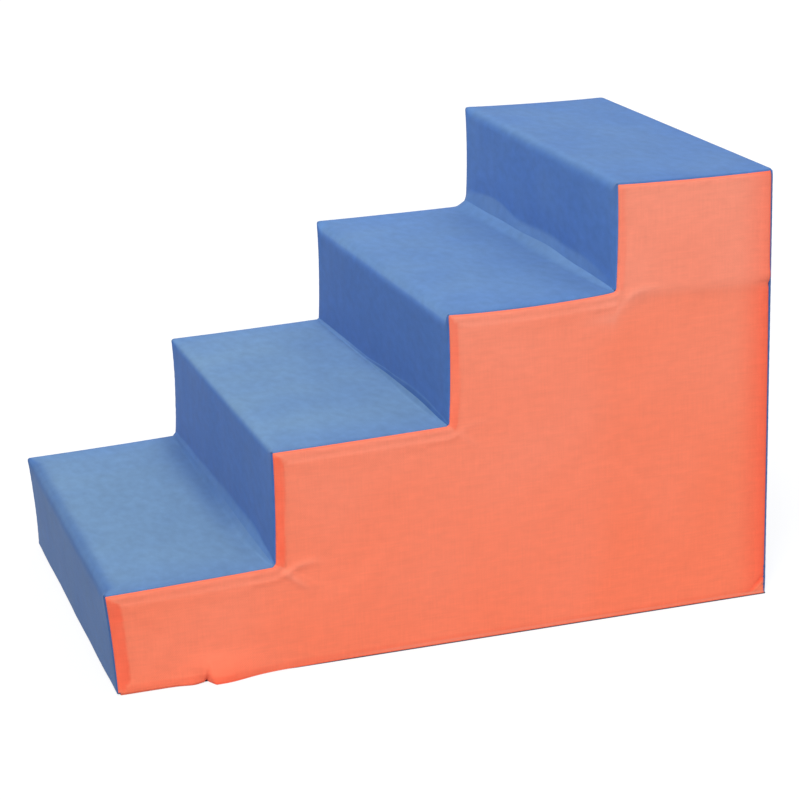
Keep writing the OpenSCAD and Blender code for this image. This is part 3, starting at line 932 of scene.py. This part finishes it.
def back_cloth(name, tread):
    """The upright back cloth, which hangs from the top tread and wraps part of the round back edges."""
    far_turn = math.pi / 2 - seam_turn
    side = turn_x + corner_r * far_turn
    low = hem_bottom(back_y, False)
    cut = edge_run((-side, low), (side, low), 3 * mm, HEM)
    ends = tread[-1 - back_rows:-1]
    top = []
    for point in [*ends[:, -1], *tread[-1][::-1], *ends[::-1, 0]]:
        place, turn = unrolled(abs(point[0]), turn_x, point[1] - turn_y)
        if turn <= far_turn + 0.01:
            top.append(((math.copysign(place, point[0]), point[2]), tuple(point), TOP))
    cut += edge_run((side, low), top[0][0], edge_step, BACK)
    for entry in top:
        if math.dist(entry[0], cut[-1][0]) > 0.05 * mm:
            cut.append(entry)
    cut += edge_run(top[-1][0], (-side, low), edge_step, BACK)[1:]

    def shape(flat, distance, kind, nearest):
        w, z = flat.T
        space = np.stack([w, z, np.full(len(w), 0.7)], axis=1)
        out = upright_relief(space, distance, kind, seed=71, wave=0.55, swell=0.6, pucker=0.18)
        out -= 0.56 * smooth((distance - 8.5 * mm) / (1.6 * mm))
        for joint, tilt in ((level_z[3], 5 * mm), (level_z[2], -4 * mm), (level_z[1], 3 * mm)):
            over = z - joint - tilt * w / half
            crease = 0.32 * np.tanh(over / (3 * mm)) * fade(np.abs(over), 30 * mm)
            out += crease * smooth(distance / (40 * mm))
        hem = hem_in * smooth((hem_start - z) / (hem_start - hem_low))
        along, off = wrapped(np.abs(w), turn_x, hem - out * mm, distance, kind)
        wear_and_light = 0.1 * ripple(space, 45 * mm, 9) - 0.1
        # Painted shade along the side edges of the back cloth
        shade = 1 - 0.4 * fade(distance, 3 * mm) * (kind == BACK)
        return np.stack([np.sign(w) * along, back_y + off, z], axis=1), {"wear_and_light": wear_and_light, "shade": shade}

    return cut_cloth(name, cut, [], shape, turned=True)


def build_cover(tread_cloth, orange_cloth):
    seams = {1: [], -1: []}
    for k in range(STEPS):
        points, uv, tones = step_cloth(k)
        for sign, column in ((1, -1), (-1, 0)):
            for row in range(0 if k == 0 else 1, len(points)):
                kind = k if foot_row - 4 <= row < nosing_row else TREAD
                seams[sign].append((points[row, column], kind))
        obj = grid_object(f"step_cloth_{k + 1}", points, uv, tones)
        finish_cloth(obj, tread_cloth, f"step_panel_{k + 1}")
    for name, sign in (("side_cloth_right", 1), ("side_cloth_left", -1)):
        obj = side_cloth(name, sign, seams[sign])
        node = name.replace("cloth", "panel")
        finish_cloth(obj, orange_cloth, node)
    obj = back_cloth("back_cloth", points)
    finish_cloth(obj, tread_cloth, "back_panel")


# Base: non-slip cloth with a lip along the zipper

def u_path(inset):
    """The path of the zipper, that far inside the outer faces: up the right side, round the back and down."""
    radius = corner_r - inset
    right = [(half - inset, zip_y)]
    for turn in np.radians(np.linspace(0, 90, 9)):
        right.append((turn_x + radius * math.cos(turn), turn_y - back_proud + radius * math.sin(turn)))
    return right + [(-x, y) for x, y in reversed(right)]


def build_base(material):
    grip_h, base_top, lip_t = 0.35 * mm, 1.0 * mm, 2 * mm
    lip_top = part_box("zipper_coil_lower")[1].z
    wide = half - 0.4 * mm
    near = [(half - seam_in, front_y + 3 * mm), (half - seam_in, zip_y), (half - slit_in, zip_y),
            (half - slit_in, zip_y + 35 * mm)]
    back = [(wide, zip_y + 80 * mm), (wide, back_y - 2.4 * mm), (wide - 1.4 * mm, back_y - 1 * mm)]
    outline = near + back + [(-x, y) for x, y in reversed(near + back)]
    obj = mesh_object("base_cloth", [(x, y, grip_h) for x, y in outline], [list(range(len(outline)))])
    edit_whole(obj, bpy.ops.mesh.extrude_region_move,
               TRANSFORM_OT_translate={"value": (0, 0, base_top - grip_h)})
    outer, inner = u_path(slit_in), u_path(slit_in + lip_t)
    low = base_top - 0.1 * mm
    runs = ((outer, low), (outer, lip_top), (inner, lip_top), (inner, low))
    count = len(outer)
    faces = [tuple(a * count for a in range(4)), tuple(a * count + count - 1 for a in reversed(range(4)))]
    for i in range(count - 1):
        for a in range(4):
            b = (a + 1) % 4
            faces.append((a * count + i, a * count + i + 1, b * count + i + 1, b * count + i))
    lip = mesh_object("base_lip", [(x, y, z) for run, z in runs for x, y in run], faces)
    select_only(obj)
    lip.select_set(True)
    bpy.ops.object.join()
    edit_whole(obj, bpy.ops.mesh.normals_make_consistent, inside=False)
    set_uv(obj.data, [(v.co.x, v.co.y) for v in obj.data.vertices])
    apply_modifier(obj, "BEVEL", width=0.25 * mm, segments=2, limit_method="ANGLE")
    give_material(obj, material)
    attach(obj, "stairs")
    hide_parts("base_panel")
    build_grip_dots(material, grip_h)


def build_grip_dots(material, height):
    """Round non-slip dots under the base, in even rows."""
    pitch, radius, margin = 12 * mm, 1.8 * mm, 12 * mm
    start = (-half + margin, riser_y[0] + margin, height / 2 + 0.1 * mm)
    bpy.ops.mesh.primitive_cylinder_add(vertices=10, radius=radius, depth=height + 0.2 * mm, location=start)
    dots = just_added("grip_dots")
    apply_modifier(dots, "BEVEL", width=0.15 * mm, segments=1, limit_method="ANGLE")
    for axis, length in ((0, 2 * half), (1, back_y - riser_y[0])):
        offset = [0.0, 0.0, 0.0]
        offset[axis] = pitch
        apply_modifier(dots, "ARRAY", count=int((length - 2 * margin) / pitch) + 1, use_relative_offset=False,
                       use_constant_offset=True, constant_offset_displace=offset)
    give_material(dots, material)
    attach(dots, "stairs")


# Foam slabs inside the cover

def foam_slab(k, material):
    low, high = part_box(f"foam_slab_{k + 1}")
    gap = Vector((3.6, 3.0, 1.6)) * mm
    ledge_h, ledge_in, foot_h = 15 * mm, 11 * mm, 1.5 * mm
    low, high = low + gap, high - gap
    if k == 0:
        low.z = ledge_h
    bpy.ops.mesh.primitive_cube_add(size=1, location=(low + high) / 2, scale=high - low)
    slab = just_added(f"foam_block_{k + 1}")
    if k == 0:
        edit_whole(slab, bpy.ops.mesh.select_all, action="DESELECT")
        for face in slab.data.polygons:
            face.select = face.normal.z < -0.9
        bpy.ops.object.mode_set(mode="EDIT")
        bpy.ops.mesh.inset(thickness=ledge_in)
        bpy.ops.mesh.extrude_region_move(TRANSFORM_OT_translate={"value": (0, 0, foot_h - ledge_h)})
        bpy.ops.object.mode_set(mode="OBJECT")
    apply_modifier(slab, "BEVEL", width=5 * mm, segments=4, limit_method="ANGLE")
    give_material(slab, material)
    bpy.ops.object.shade_smooth_by_angle(angle=math.radians(40))
    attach(slab, "stairs")
    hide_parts(f"foam_slab_{k + 1}")


# Stage, light and camera

def grey(level):
    return (level, level, level, 1.0)


def show_to_camera(tree, lighting, shown, output):
    """Joins two shaders: shown for rays to the camera or into a reflection, lighting for all others."""
    path = add_node(tree, "ShaderNodeLightPath").outputs
    seen = maths(tree, "MAXIMUM", path["Is Camera Ray"], path["Is Glossy Ray"])
    seen = maths(tree, "MAXIMUM", seen, path["Is Transmission Ray"])
    choose = add_node(tree, "ShaderNodeMixShader")
    for socket, source in zip(choose.inputs, (seen, lighting.outputs[0], shown.outputs[0])):
        feed(tree, socket, source)
    feed(tree, tree.nodes[output].inputs["Surface"], choose.outputs[0])


def build_floor():
    bpy.ops.mesh.primitive_plane_add(size=40)
    floor = bpy.context.object
    floor.name = "floor"
    material, tree, shader = new_material("pale_floor", 0.9, Specular_IOR_Level=0.0)
    shader.inputs["Base Color"].default_value = grey(0.55)
    plain = add_node(tree, "ShaderNodeBsdfDiffuse", Color=grey(0.3))
    glow = add_node(tree, "ShaderNodeEmission", Strength=0.73)
    both = add_node(tree, "ShaderNodeAddShader")
    feed(tree, both.inputs[0], plain.outputs[0])
    feed(tree, both.inputs[1], glow.outputs[0])
    show_to_camera(tree, shader, both, "Material Output")
    give_material(floor, material)


def build_world(strength):
    world = bpy.data.worlds.new("studio")
    bpy.context.scene.world = world
    world.use_nodes = True
    tree = world.node_tree
    room = tree.nodes["Background"]
    room.inputs["Color"].default_value = grey(1.0)
    room.inputs["Strength"].default_value = strength
    white = add_node(tree, "ShaderNodeBackground", Color=grey(1.0))
    show_to_camera(tree, room, white, "World Output")


def add_lamp(name, direction, level, softness):
    """A wide soft lamp far away; level is the brightness that it gives a white surface facing it."""
    direction = Vector(direction).normalized()
    bpy.ops.object.light_add(type="SUN", location=direction * 3)
    lamp = bpy.context.object
    lamp.name = name
    lamp.rotation_mode = "QUATERNION"
    lamp.rotation_quaternion = direction.to_track_quat("Z", "Y")
    lamp.data.energy = level * math.pi
    lamp.data.angle = math.radians(softness)


def add_camera():
    back = Vector((math.sin(view_azimuth) * math.cos(view_elevation),
                   -math.cos(view_azimuth) * math.cos(view_elevation), math.sin(view_elevation)))
    right = (-back).cross(Vector((0, 0, 1))).normalized()
    up = right.cross(-back)
    turned = right * math.cos(view_roll) + up * math.sin(view_roll)
    upright = up * math.cos(view_roll) - right * math.sin(view_roll)
    bpy.ops.object.camera_add()
    camera = bpy.context.object
    camera.matrix_world = Matrix.Translation(view_target + back * view_distance) @ Matrix(
        (turned, upright, back)).transposed().to_4x4()
    camera.data.lens = focal_px * camera.data.sensor_width / frame_px
    camera.data.clip_end = 100
    bpy.context.scene.camera = camera


def dress_zipper(tape, coil, metal):
    """Gives each part of the zipper its finish."""
    for row in ("upper", "lower"):
        give_material(nodes[f"zipper_tape_{row}"], tape)
        give_material(nodes[f"zipper_coil_{row}"], coil)
    for name in ("zipper_top_stops", "zipper_bottom_stop", "slider_body", "slider_pull"):
        give_material(nodes[name], metal)


bpy.context.scene.view_settings.view_transform = "Standard"
add_camera()
build_world(0.32)
add_lamp("key_lamp", (0.57, -0.25, 0.78), 0.86, 35)
add_lamp("fill_lamp", (-0.5, 0.65, 0.6), 0.2, 60)
build_floor()

weave_group = build_weave_group()
nap_group = build_nap_group()
base_navy = woven_material("navy_base_cloth", weave_group, navy, 700.0)
tape_navy = woven_material("navy_zipper_tape", weave_group, navy, 1600.0, "Object")
build_cover(tread_material(nap_group), side_material(weave_group))
build_base(base_navy)
foam_cream = foam_material()
for slab_index in range(STEPS):
    foam_slab(slab_index, foam_cream)
dress_zipper(tape_navy, coil_material(), metal_material())
